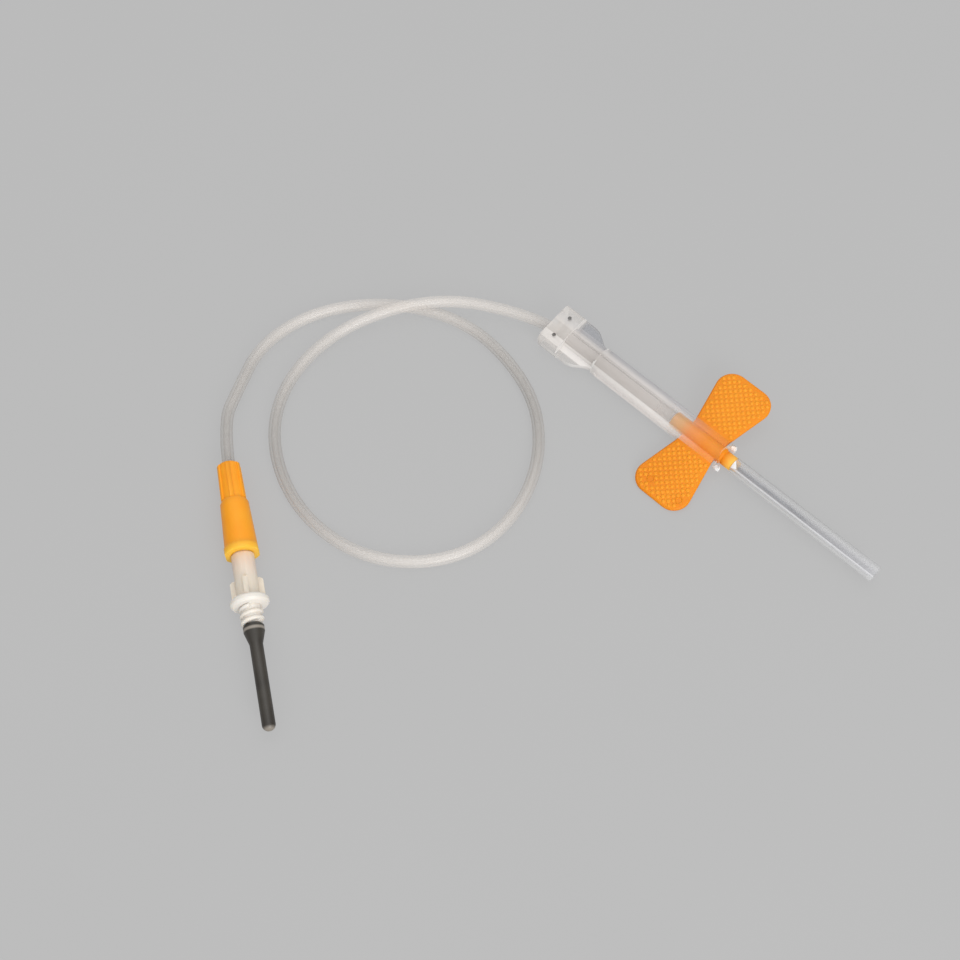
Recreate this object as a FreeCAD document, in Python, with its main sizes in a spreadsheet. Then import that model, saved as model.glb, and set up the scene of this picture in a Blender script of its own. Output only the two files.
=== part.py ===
import FreeCAD, Part
import math
import os
import re

import Sketcher
from FreeCAD import Placement, Rotation, Vector

# Winged infusion set of the safety kind: an orange hub with two finger wings and a fine needle,
# a clear shield that slides forward over the needle, a clear needle cover, soft tubing laid in
# one loop, an orange female luer hub, and a white luer adapter whose rear needle sits in a
# rubber sleeve. X runs along the front needle, Z is up and the set lies on Z = 0.

# Driving sizes in millimetres and degrees. Places along the front needle are X in the set's own
# frame; places along the luer end are measured from the rear face of the luer hub.
SIZES = [
    ("shield_outer", 6.8, "outside of the shield's tube"),
    ("shield_bore", 4.0, "bore of the shield, clears the needle cover"),
    ("shield_rear", -44.9, "rear end of the shield"),
    ("shield_front", 5.6, "front tips of the shield"),
    ("core_outer", 5.3, "outside of the tube's narrower core along the grip"),
    ("slot_rear", -29.7, "rear end of the two side slots"),
    ("slot_wall", 1.2, "length of the step that closes each slot at its rear end"),
    ("slot_bridge", 1.4, "wall left between each slot and the front tip"),
    ("slot_play", 0.5, "height of a slot beyond the wing's thickness"),
    ("scoop_deep", 1.7, "depth of the scoop in the shield's front rim"),
    ("scoop_half", 2.75, "half width of the scoop"),
    ("cheek_half", 5.45, "half width of the grip and its collar"),
    ("cheek_shoulder", -35.6, "where the grip starts to narrow"),
    ("cheek_foot", -32.0, "where the narrowing ends"),
    ("cheek_inset", 0.35, "how far the narrow end of the grip stays inside the tube's outline"),
    ("cheek_round", 5.0, "outward rounding of the grip's narrowing"),
    ("cheek_hollow", 2.5, "inward rounding of the grip's narrowing"),
    ("cheek_thick", 1.4, "thickness of the grip's side webs"),
    ("collar_long", 5.3, "length of the collar at the rear of the grip"),
    ("collar_high", 5.6, "height of the collar"),
    ("collar_round", 1.8, "corner radius of the collar"),
    ("vent_wide", 0.9, "diameter of the two blind holes in the collar"),
    ("vent_deep", 0.8, "depth of the two blind holes"),
    ("vent_apart", 5.4, "distance between the two blind holes"),
    ("wing_centre", -1.05, "middle of the wings"),
    ("wing_root_half", 4.5, "half length of the wing root"),
    ("wing_root_out", 2.6, "where the wings start to widen"),
    ("wing_tip_half", 7.7, "half length of the wing at its outer edge"),
    ("wing_span_half", 17.5, "half span of the wings"),
    ("wing_thick", 1.1, "thickness of the wings"),
    ("wing_corner", 3.9, "corner radius of the wings"),
    ("wing_edge", 0.3, "chamfer on the wing's outer rim"),
    ("hub_outer", 3.8, "outside of the wing hub in the shield's bore"),
    ("hub_rear", -9.4, "rear end of the wing hub"),
    ("hub_shoulder", 4.7, "front end of the hub's thick part"),
    ("hub_chamfer", 0.3, "chamfer on the hub's ends"),
    ("nose_wide", 3.3, "diameter of the hub's nose"),
    ("nose_front", 7.4, "front face of the nose"),
    ("spigot_wide", 2.5, "diameter of the spigot that holds the cover"),
    ("spigot_long", 1.2, "length of the spigot"),
    ("socket_deep", 3.5, "depth of the tubing socket in the wing hub"),
    ("channel_wide", 1.3, "waterway between socket and needle"),
    ("channel_long", 3.9, "length of that waterway"),
    ("needle_outer", 0.51, "outside of the 25 gauge needle"),
    ("needle_bore", 0.26, "bore of the needle"),
    ("needle_out", 19.5, "length of needle ahead of the nose"),
    ("needle_bevel", 1.9, "length of the ground bevel"),
    ("cover_outer", 3.65, "outside of the needle cover at its mouth"),
    ("cover_end_wide", 3.8, "outside of the needle cover at its closed end"),
    ("cover_end", 44.9, "closed end of the needle cover"),
    ("cover_cap", 1.0, "end wall of the cover"),
    ("cover_fit", 0.05, "radial clearance of the cover on the spigot"),
    ("glue_gap", 0.03, "radial gap of bonded joints"),
    ("tube_outer", 2.7, "outside of the tubing"),
    ("tube_floor", 0.05, "clearance of the lying tubing over the floor"),
    ("sleeve_wide", 4.6, "outside of the luer hub's sleeve at its rear end"),
    ("sleeve_root", 5.0, "outside of the sleeve at the shoulder"),
    ("sleeve_long", 8.9, "length of the sleeve"),
    ("rib_wide", 0.9, "width of the ribs along the sleeve"),
    ("rib_out", 0.25, "height of the ribs over the sleeve"),
    ("barrel_wide", 6.0, "outside of the barrel behind its shoulder"),
    ("barrel_round", 0.7, "rounding of the barrel's shoulder"),
    ("lug_wide", 7.6, "diameter over the two lugs"),
    ("lug_proud", 0.35, "how far the lugs stand out from the barrel"),
    ("lug_thick", 1.4, "thickness of the lugs"),
    ("lug_face", 21.6, "front face of the luer hub"),
    ("luer_mouth", 4.3, "mouth of the female luer taper"),
    ("luer_deep", 9.5, "depth of the female luer taper"),
    ("luer_rate", 0.06, "luer taper, change of diameter per length"),
    ("luer_fit", 0.03, "radial clearance between the luer tapers"),
    ("luer_seat", 5.6, "length of male taper inside the female one"),
    ("luer_socket_deep", 5.0, "depth of the tubing socket in the luer hub"),
    ("luer_channel", 1.4, "waterway of the luer hub"),
    ("shaft_gap", 0.3, "bare taper between the hub's face and the shaft"),
    ("shaft_wide", 4.8, "diameter of the adapter's shaft"),
    ("fin_start", 27.5, "rear end of the four fins"),
    ("fin_across", 6.8, "diameter over the fins"),
    ("fin_thick", 1.0, "thickness of a fin"),
    ("fin_slope", 0.5, "slope at the rear end of a fin"),
    ("flange_rear", 31.7, "rear face of the adapter's flange"),
    ("flange_thick", 1.75, "thickness of the flange"),
    ("flange_wide", 8.0, "diameter of the flange"),
    ("flange_bevel", 0.5, "chamfer on the flange's rim"),
    ("thread_wide", 4.1, "core diameter of the holder thread"),
    ("thread_long", 3.95, "length of the holder thread"),
    ("thread_lead", 0.4, "chamfer at the thread's start"),
    ("nipple_wide", 2.4, "nipple that carries the rubber sleeve"),
    ("nipple_long", 3.4, "length of the nipple"),
    ("adapter_bore", 2.1, "waterway in the male luer"),
    ("adapter_bore_deep", 13.3, "depth of that waterway"),
    ("rear_outer", 0.81, "outside of the rear needle"),
    ("rear_bore", 0.5, "bore of the rear needle"),
    ("rear_inside", 5.0, "length of rear needle held in the adapter behind its flange"),
    ("rear_tip", 56.6, "tip of the rear needle"),
    ("rear_bevel", 1.6, "length of the rear needle's bevel"),
    ("rubber_head", 4.3, "outside of the rubber sleeve's head"),
    ("rubber_head_long", 1.6, "length of the head"),
    ("rubber_head_bevel", 0.45, "chamfer on the head"),
    ("rubber_neck_long", 2.7, "length over which the head narrows"),
    ("rubber_outer", 2.7, "outside of the rubber sleeve"),
    ("rubber_dome", 1.32, "rounding of the sleeve's closed tip"),
    ("rubber_tip", 59.9, "tip of the rubber sleeve"),
    ("rubber_bore", 1.2, "bore of the rubber sleeve"),
    ("rubber_end", 1.5, "thickness of the closed tip"),
    ("rubber_seat", 0.02, "gap between the rubber and the thread's end"),
    ("luer_place_x", -71.44, "rear face of the luer hub, X"),
    ("luer_place_y", -75.55, "rear face of the luer hub, Y"),
    ("luer_heading", -34.5, "heading of the luer end in plan"),
]

# The tubing's route on the table, chosen by eye: X, Y and the height of its centre over the floor
# line of a lying tube. The first and last points belong to the two hubs.
ROUTE = [
    (-46.5, 0.0, 2.0),
    (-57.2, -3.3, 4.0),
    (-67.4, -10.5, 5.7),
    (-74.2, -21.8, 5.7),
    (-78.0, -35.2, 1.8),
    (-78.5, -48.5, 0.0),
    (-73.9, -60.2, 0.0),
    (-64.0, -68.7, 0.0),
    (-51.1, -72.6, 0.0),
    (-37.7, -71.0, 0.0),
    (-26.6, -63.8, 0.0),
    (-20.0, -52.7, 0.0),
    (-19.6, -39.7, 0.0),
    (-25.0, -27.3, 0.0),
    (-34.3, -17.7, 0.0),
    (-46.2, -12.5, 0.0),
    (-59.2, -12.4, 0.0),
    (-71.7, -16.8, 0.0),
    (-82.1, -25.4, 0.0),
    (-88.7, -37.0, 0.0),
    (-89.8, -49.8, 0.0),
    (-86.0, -61.2, 0.4),
]
LAST_RUN = 10.3
ARC_SHARE = 0.45

doc = FreeCAD.newDocument("winged_set")
sheet = doc.addObject("Spreadsheet::Sheet", "Sizes")


def fill_sheet():
    """One row per driving size: what it is, its value and its alias."""
    for row, (alias, value, note) in enumerate(SIZES, start=1):
        sheet.set(f"A{row}", note)
        sheet.set(f"B{row}", str(value))
        sheet.setAlias(f"B{row}", alias)
    doc.recompute()


def size(alias):
    """The value of one driving size."""
    return float(sheet.get(alias))


def formula(words):
    """An expression on the sheet from a sum of plain aliases."""
    return re.sub(r"([a-z][a-z_]+)", r"Sizes.\1", words)


def bind(thing, prop, words):
    """Tie one property to the sheet."""
    thing.setExpression(prop, formula(words))


def new_body(name):
    body = doc.addObject("PartDesign::Body", name)
    body.Label = name
    return body


def new_sketch(body, name, role, offset=None):
    """A sketch on one of the body's own origin planes, moved along its normal if asked."""
    sketch = body.newObject("Sketcher::SketchObject", name)
    plane = [item for item in body.Origin.OriginFeatures if item.Role == role][0]
    sketch.AttachmentSupport = [(plane, "")]
    sketch.MapMode = "FlatFace"
    if offset:
        bind(sketch, "AttachmentOffset.Base.z", offset)
    return sketch


def tie(sketch, geometry, vertex, along, across):
    """Hold one sketch point at two formulas measured from the sketch's origin."""
    for words, kind, axis in ((along, "DistanceX", -2), (across, "DistanceY", -1)):
        if words == "0":
            sketch.addConstraint(Sketcher.Constraint("PointOnObject", geometry, vertex, axis))
            continue
        row = sketch.addConstraint(Sketcher.Constraint(kind, -1, 1, geometry, vertex, 1.0))
        bind(sketch, f"Constraints[{row}]", words)


def add_outline(sketch, corners):
    """A closed outline of straight edges through the corners, each a pair of formulas."""
    first = sketch.GeometryCount
    count = len(corners)
    start = [Vector(math.cos(2 * math.pi * k / count), math.sin(2 * math.pi * k / count), 0)
             for k in range(count)]
    for k in range(count):
        sketch.addGeometry(Part.LineSegment(start[k], start[(k + 1) % count]), False)
    for k in range(count):
        following = first + (k + 1) % count
        sketch.addConstraint(Sketcher.Constraint("Coincident", first + k, 2, following, 1))
    for k, (along, across) in enumerate(corners):
        tie(sketch, first + k, 1, along, across)


def add_circle(sketch, diameter, along="0", across="0"):
    ring = sketch.addGeometry(Part.Circle(Vector(1, 1, 0), Vector(0, 0, 1), 1.0), False)
    row = sketch.addConstraint(Sketcher.Constraint("Diameter", ring, 2.0))
    bind(sketch, f"Constraints[{row}]", diameter)
    tie(sketch, ring, 3, along, across)


def outline(body, name, role, corners, offset=None):
    sketch = new_sketch(body, name, role, offset)
    add_outline(sketch, corners)
    return sketch


def revolve(body, name, corners):
    """A turned form: the outline lies in the XZ plane and turns about X."""
    turned = body.newObject("PartDesign::Revolution", name)
    turned.Profile = outline(body, name + "_profile", "XZ_Plane", corners)
    turned.ReferenceAxis = (turned.Profile[0], ["H_Axis"])
    turned.Angle = 360
    return turned


def pad(body, name, sketch, length, both_ways=False):
    """Material from a sketch, along its normal or half to each side."""
    grown = body.newObject("PartDesign::Pad", name)
    grown.Profile = sketch
    bind(grown, "Length", length)
    if both_ways:
        grown.SideType = "Symmetric"
    return grown


def pocket(body, name, sketch, length=None, back=False, both_ways=False):
    """A cut from a sketch. It must take something away, or the build stops."""
    doc.recompute()
    before = body.Shape.Volume
    cut = body.newObject("PartDesign::Pocket", name)
    cut.Profile = sketch
    if both_ways:
        cut.SideType = "Symmetric"
    if length:
        bind(cut, "Length", length)
    else:
        cut.Type = "ThroughAll"
    cut.Reversed = back
    doc.recompute()
    if body.Shape.Volume >= before:
        raise ValueError(f"{name} cuts nothing")
    return cut


def treat_edges(body, name, kind, wanted):
    """A feature on the edges that the test picks from the body's present shape."""
    doc.recompute()
    names = [f"Edge{k}" for k, edge in enumerate(body.Shape.Edges, start=1) if wanted(edge)]
    if not names:
        raise ValueError(f"{name} found no edge")
    carrier = body.Tip
    treated = body.newObject(kind, name)
    treated.Base = (carrier, names)
    return treated


def fillet(body, name, radius, wanted):
    """Round the edges that the test picks."""
    bind(treat_edges(body, name, "PartDesign::Fillet", wanted), "Radius", radius)


def chamfer(body, name, depth, wanted):
    """Cut the edges that the test picks at 45 degrees."""
    bind(treat_edges(body, name, "PartDesign::Chamfer", wanted), "Size", depth)


def runs_along(edge, axis):
    """True for a straight edge parallel to the axis."""
    if len(edge.Vertexes) != 2:
        return False
    step = edge.Vertexes[1].Point - edge.Vertexes[0].Point
    return abs(abs(step.normalize().dot(axis)) - 1) < 1e-6


def polar(body, name, feature, count):
    """Copies of a feature all round the X axis."""
    pattern = body.newObject("PartDesign::PolarPattern", name)
    pattern.Originals = [feature]
    axis = [item for item in body.Origin.OriginFeatures if item.Role == "X_Axis"][0]
    pattern.Axis = (axis, [""])
    pattern.Angle = 360
    pattern.Occurrences = count
    body.Tip = pattern
    return pattern


# Where the two ends of the set lie

def lean():
    """Turn about X at which the lower wing's chamfered rim touches the floor."""
    out = size("wing_span_half") - size("wing_edge")
    down = size("wing_thick") / 2
    drop = size("shield_outer") / 2
    return math.degrees(math.asin(drop / math.hypot(out, down)) - math.atan2(down, out))


def front_place():
    """The needle end lies on the shield's tube and on the rim of one wing."""
    return Placement(Vector(0, 0, size("shield_outer") / 2), Rotation(Vector(1, 0, 0), lean()))


def luer_place():
    """The luer end lies on the lugs and on the adapter's flange."""
    lugs = size("lug_wide") / 2
    flange = size("flange_wide") / 2
    apart = size("flange_rear") + size("flange_thick") / 2 - size("lug_face") + size("lug_thick") / 2
    climb = math.asin((flange - lugs) / apart)
    drop = (size("lug_face") - size("lug_thick") / 2) * math.sin(climb)
    foot = Vector(size("luer_place_x"), size("luer_place_y"), lugs - drop)
    turn = Rotation(Vector(0, 0, 1), size("luer_heading"))
    return Placement(foot, turn.multiply(Rotation(Vector(0, 1, 0), -math.degrees(climb))))


# Needle end

def make_shield():
    """Clear moulded shield: slotted tube, scooped front rim, flat grip with a thicker collar."""
    body = new_body("shield")
    core = new_sketch(body, "core_ring", "YZ_Plane", "shield_rear")
    add_circle(core, "core_outer")
    pad(body, "core", core, "slot_rear - shield_rear")
    ring = new_sketch(body, "tube_ring", "YZ_Plane", "slot_rear - slot_wall")
    add_circle(ring, "shield_outer")
    pad(body, "tube", ring, "shield_front - slot_rear + slot_wall")
    neck = "shield_outer / 2 - cheek_inset"
    webs = outline(body, "grip_outline", "XY_Plane", [
        ("shield_rear", "-cheek_half"), ("cheek_shoulder", "-cheek_half"),
        ("cheek_foot", "-(" + neck + ")"), ("slot_rear", "-(" + neck + ")"),
        ("slot_rear", neck), ("cheek_foot", neck),
        ("cheek_shoulder", "cheek_half"), ("shield_rear", "cheek_half")])
    pad(body, "grip", webs, "cheek_thick", both_ways=True)
    shoulder, foot = size("cheek_shoulder"), size("cheek_foot")
    fillet(body, "grip_shoulders", "cheek_round",
           lambda edge: runs_along(edge, Vector(0, 0, 1)) and abs(edge.CenterOfMass.x - shoulder) < 1e-3)
    fillet(body, "grip_feet", "cheek_hollow",
           lambda edge: runs_along(edge, Vector(0, 0, 1)) and abs(edge.CenterOfMass.x - foot) < 1e-3)
    block = outline(body, "collar_outline", "YZ_Plane", [
        ("-cheek_half", "-collar_high / 2"), ("cheek_half", "-collar_high / 2"),
        ("cheek_half", "collar_high / 2"), ("-cheek_half", "collar_high / 2")], "shield_rear")
    pad(body, "collar", block, "collar_long")
    middle = size("shield_rear") + size("collar_long") / 2
    fillet(body, "collar_corners", "collar_round",
           lambda edge: runs_along(edge, Vector(1, 0, 0)) and abs(edge.CenterOfMass.x - middle) < 1e-3
           and abs(abs(edge.CenterOfMass.y) - size("cheek_half")) < 1e-3
           and abs(abs(edge.CenterOfMass.z) - size("collar_high") / 2) < 1e-3)
    bore = new_sketch(body, "bore_ring", "YZ_Plane", "shield_rear")
    add_circle(bore, "shield_bore")
    pocket(body, "bore", bore, back=True)
    slots = outline(body, "slot_outline", "XZ_Plane", [
        ("slot_rear", "-(wing_thick + slot_play) / 2"),
        ("shield_front - slot_bridge", "-(wing_thick + slot_play) / 2"),
        ("shield_front - slot_bridge", "(wing_thick + slot_play) / 2"),
        ("slot_rear", "(wing_thick + slot_play) / 2")])
    pocket(body, "slots", slots, "shield_outer + shield_outer", both_ways=True)
    bow = "(scoop_half * scoop_half + scoop_deep * scoop_deep) / scoop_deep"
    scoop = new_sketch(body, "scoop_ring", "XY_Plane")
    add_circle(scoop, bow, "shield_front - scoop_deep + " + bow + " / 2")
    pocket(body, "scoop", scoop, "shield_outer + shield_outer", both_ways=True)
    vents = new_sketch(body, "vent_rings", "XY_Plane", "collar_high / 2")
    for side in ("-vent_apart / 2", "vent_apart / 2"):
        add_circle(vents, "vent_wide", "shield_rear + collar_long / 2", side)
    pocket(body, "vents", vents, "vent_deep")
    return body


def make_wing_hub():
    """Orange moulding: turned hub with both wings, tubing socket and needle bore."""
    body = new_body("wing_hub")
    spigot_end = "nose_front + spigot_long"
    revolve(body, "hub", [
        ("hub_rear", "0"), ("hub_rear", "hub_outer / 2 - hub_chamfer"),
        ("hub_rear + hub_chamfer", "hub_outer / 2"), ("hub_shoulder - hub_chamfer", "hub_outer / 2"),
        ("hub_shoulder", "hub_outer / 2 - hub_chamfer"), ("hub_shoulder", "nose_wide / 2"),
        ("nose_front", "nose_wide / 2"), ("nose_front", "spigot_wide / 2"),
        (spigot_end + " - hub_chamfer", "spigot_wide / 2"),
        (spigot_end, "spigot_wide / 2 - hub_chamfer"), (spigot_end, "0")])
    root_rear, root_front = "wing_centre - wing_root_half", "wing_centre + wing_root_half"
    tip_rear, tip_front = "wing_centre - wing_tip_half", "wing_centre + wing_tip_half"
    wings = outline(body, "wing_outline", "XY_Plane", [
        (root_front, "-wing_root_out"), (root_front, "wing_root_out"), (tip_front, "wing_span_half"),
        (tip_rear, "wing_span_half"), (root_rear, "wing_root_out"), (root_rear, "-wing_root_out"),
        (tip_rear, "-wing_span_half"), (tip_front, "-wing_span_half")])
    pad(body, "wings", wings, "wing_thick", both_ways=True)
    tip = size("wing_span_half")
    fillet(body, "wing_corners", "wing_corner",
           lambda edge: runs_along(edge, Vector(0, 0, 1)) and abs(abs(edge.CenterOfMass.y) - tip) < 1e-3)
    face, clear = size("wing_thick") / 2, size("shield_outer") / 2
    chamfer(body, "wing_rims", "wing_edge",
            lambda edge: abs(abs(edge.CenterOfMass.z) - face) < 1e-6
            and abs(edge.CenterOfMass.y) > clear and edge.BoundBox.ZLength < 1e-6)
    socket = new_sketch(body, "socket_ring", "YZ_Plane", "hub_rear")
    add_circle(socket, "tube_outer + 2 * glue_gap")
    pocket(body, "socket", socket, "socket_deep", back=True)
    channel = new_sketch(body, "channel_ring", "YZ_Plane", "hub_rear")
    add_circle(channel, "channel_wide")
    pocket(body, "channel", channel, "socket_deep + channel_long", back=True)
    bore = new_sketch(body, "needle_ring", "YZ_Plane", "hub_rear")
    add_circle(bore, "needle_outer + 2 * glue_gap")
    pocket(body, "needle_bore_cut", bore, back=True)
    return body


def make_cannula(name, rear, tip, outer, bore, bevel):
    """Steel tube with a slanting ground tip that faces up."""
    body = new_body(name)
    revolve(body, name + "_tube", [(rear, bore + " / 2"), (rear, outer + " / 2"),
                                   (tip, outer + " / 2"), (tip, bore + " / 2")])
    grind = outline(body, name + "_bevel", "XZ_Plane", [
        (tip + " - " + bevel, outer + " / 2"), (tip, "-" + outer + " / 2"), (tip, outer + " / 2")])
    pocket(body, name + "_grind", grind, outer + " + " + outer, both_ways=True)
    return body


def make_needle():
    rear = "hub_rear + socket_deep + channel_long"
    return make_cannula("needle", rear, "nose_front + needle_out", "needle_outer", "needle_bore",
                        "needle_bevel")


def make_needle_cover():
    """Clear cap, slightly tapered, closed at its far end."""
    body = new_body("needle_cover")
    inner = "spigot_wide / 2 + cover_fit"
    revolve(body, "cover_wall", [
        ("nose_front", inner), ("nose_front", "cover_outer / 2"),
        ("cover_end - hub_chamfer", "cover_end_wide / 2"),
        ("cover_end", "cover_end_wide / 2 - hub_chamfer"), ("cover_end", "0"),
        ("cover_end - cover_cap", "0"), ("cover_end - cover_cap", inner)])
    return body


# Luer end

def make_luer_hub():
    """Orange female luer: ribbed sleeve for the tubing, barrel with a 6 % taper and two lugs."""
    body = new_body("luer_hub")
    bottom = "luer_mouth / 2 - luer_deep * luer_rate / 2"
    front = "lug_wide / 2 - lug_proud"
    revolve(body, "barrel", [
        ("0", "tube_outer / 2 + glue_gap"), ("0", "sleeve_wide / 2 - hub_chamfer"),
        ("hub_chamfer", "sleeve_wide / 2"), ("sleeve_long", "sleeve_root / 2"),
        ("sleeve_long", "barrel_wide / 2 - barrel_round / 2"),
        ("sleeve_long + barrel_round", "barrel_wide / 2"),
        ("lug_face - lug_thick", front), ("lug_face - lug_thick", "lug_wide / 2"),
        ("lug_face", "lug_wide / 2"), ("lug_face", "luer_mouth / 2"),
        ("lug_face - luer_deep", bottom), ("lug_face - luer_deep", "luer_channel / 2"),
        ("luer_socket_deep", "luer_channel / 2"), ("luer_socket_deep", "tube_outer / 2 + glue_gap")])
    rib = outline(body, "rib_outline", "XZ_Plane", [
        ("hub_chamfer", "sleeve_wide / 2 - rib_out"), ("hub_chamfer", "sleeve_wide / 2 + rib_out / 2"),
        ("2 * hub_chamfer", "sleeve_wide / 2 + rib_out"), ("sleeve_long", "sleeve_root / 2 + rib_out"),
        ("sleeve_long", "sleeve_root / 2 - rib_out")])
    polar(body, "ribs", pad(body, "rib", rib, "rib_wide", both_ways=True), 6)
    flats = new_sketch(body, "lug_flats", "YZ_Plane", "lug_face - lug_thick")
    for side in ("-", ""):
        add_outline(flats, [(side + "(" + front + ")", "-lug_wide"), (side + "lug_wide", "-lug_wide"),
                            (side + "lug_wide", "lug_wide"), (side + "(" + front + ")", "lug_wide")])
    pocket(body, "lug_cuts", flats, "lug_thick", back=True)
    return body


def make_luer_adapter():
    """White adapter: male luer taper, shaft, four fins, flange and holder thread."""
    body = new_body("luer_adapter")
    mouth = "luer_mouth / 2 - luer_fit"
    flange_front = "flange_rear + flange_thick"
    thread_end = flange_front + " + thread_long"
    bore_end = "lug_face - luer_seat + adapter_bore_deep"
    needle_bore = "rear_outer / 2 + glue_gap"
    revolve(body, "core", [
        ("lug_face - luer_seat", "adapter_bore / 2"),
        ("lug_face - luer_seat", mouth + " - luer_seat * luer_rate / 2"),
        ("lug_face + shaft_gap", mouth + " + shaft_gap * luer_rate / 2"),
        ("lug_face + shaft_gap", "shaft_wide / 2"), ("flange_rear", "shaft_wide / 2"),
        ("flange_rear", "flange_wide / 2 - flange_bevel"),
        ("flange_rear + flange_bevel", "flange_wide / 2"),
        (flange_front + " - flange_bevel", "flange_wide / 2"),
        (flange_front, "flange_wide / 2 - flange_bevel"),
        (flange_front, "thread_wide / 2"), (thread_end + " - thread_lead", "thread_wide / 2"),
        (thread_end, "thread_wide / 2 - thread_lead"), (thread_end, "nipple_wide / 2"),
        (thread_end + " + nipple_long", "nipple_wide / 2"), (thread_end + " + nipple_long", needle_bore),
        (bore_end, needle_bore), (bore_end, "adapter_bore / 2")])
    fin = outline(body, "fin_outline", "XZ_Plane", [
        ("fin_start", "shaft_wide / 2 - fin_slope"), ("fin_start", "fin_across / 2 - fin_slope"),
        ("fin_start + fin_slope", "fin_across / 2"), ("flange_rear + flange_bevel", "fin_across / 2"),
        ("flange_rear + flange_bevel", "shaft_wide / 2 - fin_slope")])
    polar(body, "fins", pad(body, "fin", fin, "fin_thick", both_ways=True), 4)
    return body


def make_rear_needle():
    return make_cannula("rear_needle", "flange_rear - rear_inside + flange_thick", "rear_tip",
                        "rear_outer", "rear_bore", "rear_bevel")


def make_rubber_sleeve():
    """Black rubber sleeve with a rolled head on the nipple and a domed closed tip."""
    body = new_body("rubber_sleeve")
    seat = "flange_rear + flange_thick + thread_long + rubber_seat"
    neck = seat + " + rubber_head_long + rubber_neck_long"
    grip = "nipple_wide / 2 + glue_gap"
    revolve(body, "sleeve_wall", [
        (seat, grip), (seat, "rubber_head / 2 - rubber_head_bevel"),
        (seat + " + rubber_head_bevel", "rubber_head / 2"),
        (seat + " + rubber_head_long", "rubber_head / 2"),
        (neck, "rubber_outer / 2"), ("rubber_tip", "rubber_outer / 2"), ("rubber_tip", "0"),
        ("rubber_tip - rubber_end", "0"), ("rubber_tip - rubber_end", "rubber_bore / 2"),
        (seat + " + nipple_long", "rubber_bore / 2"), (seat + " + nipple_long", grip)])
    tip, wide = size("rubber_tip"), size("rubber_outer")
    fillet(body, "tip_dome", "rubber_dome",
           lambda edge: abs(edge.BoundBox.ZLength - wide) < 1e-3 and abs(edge.CenterOfMass.x - tip) < 1e-3)
    return body


# Tubing

def tube_points():
    """The route's points: out of the wing hub, over the table and into the luer hub."""
    low = size("tube_outer") / 2 + size("tube_floor")
    start = Vector(size("hub_rear") + size("socket_deep"), 0, size("shield_outer") / 2)
    points = [start]
    for x, y, rise in ROUTE:
        points.append(Vector(x, y, low + rise))
    points[1].z = start.z
    place = luer_place()
    points.append(place.multVec(Vector(-LAST_RUN, 0, 0)))
    points.append(place.multVec(Vector(size("luer_socket_deep"), 0, 0)))
    return points


def rounded_path(points):
    """Straight runs joined by tangent arcs, each as large as its two runs allow."""
    edges = []
    radii = []
    last = points[0]
    for before, corner, after in zip(points, points[1:], points[2:]):
        back, ahead = before - corner, after - corner
        shorter = min(back.Length, ahead.Length)
        back.normalize()
        ahead.normalize()
        half_turn = (math.pi - back.getAngle(ahead)) / 2
        trim = ARC_SHARE * shorter
        radius = trim / math.tan(half_turn)
        enter, leave = corner + back * trim, corner + ahead * trim
        centre = corner + (back + ahead).normalize() * (radius / math.cos(half_turn))
        middle = centre + (corner - centre).normalize() * radius
        edges.append(Part.LineSegment(last, enter).toShape())
        edges.append(Part.Arc(enter, middle, leave).toShape())
        radii.append(radius)
        last = leave
    edges.append(Part.LineSegment(last, points[-1]).toShape())
    return Part.Wire(edges), radii


def make_tubing():
    """Soft tubing laid in one loop that crosses itself once. It is kept plain, without its bore."""
    path, radii = rounded_path(tube_points())
    print("tubing radii", [round(radius, 1) for radius in radii])
    print("tubing length", round(path.Length, 1))
    first = path.Edges[0]
    direction = first.tangentAt(first.FirstParameter)
    ring = Part.Circle(first.Vertexes[0].Point, direction, size("tube_outer") / 2).toShape()
    bar = path.makePipeShell([Part.Wire([ring])], True, False, 2)
    section = math.pi / 4 * size("tube_outer") ** 2
    print("tubing volume over section times length", round(bar.Volume / (section * path.Length), 4))
    tubing = doc.addObject("Part::Feature", "tubing")
    tubing.Label = "tubing"
    tubing.Shape = bar
    tubing.Placement = Placement()
    return tubing


# Build, check and write

def main():
    fill_sheet()
    front = [make_shield(), make_wing_hub(), make_needle(), make_needle_cover()]
    rear = [make_luer_hub(), make_luer_adapter(), make_rear_needle(), make_rubber_sleeve()]
    for body in front:
        body.Placement = front_place()
    for body in rear:
        body.Placement = luer_place()
    parts = front + rear + [make_tubing()]
    doc.recompute()
    for thing in doc.Objects:
        if "Invalid" in thing.State or "Error" in thing.State:
            raise ValueError(f"{thing.Name} failed: {thing.State}")
    os.makedirs("parts", exist_ok=True)
    for thing in parts:
        shape = thing.Shape
        if shape.isNull() or not shape.isValid() or len(shape.Solids) != 1:
            raise ValueError(f"{thing.Label} is not one valid solid")
        print(thing.Label, "volume", round(shape.Volume, 2), shape.BoundBox)
        shape.exportStep(f"parts/{thing.Label}.step")


main()
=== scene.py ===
import math

import bmesh
import bpy
from mathutils import Matrix, Vector
from mathutils.kdtree import KDTree


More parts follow.
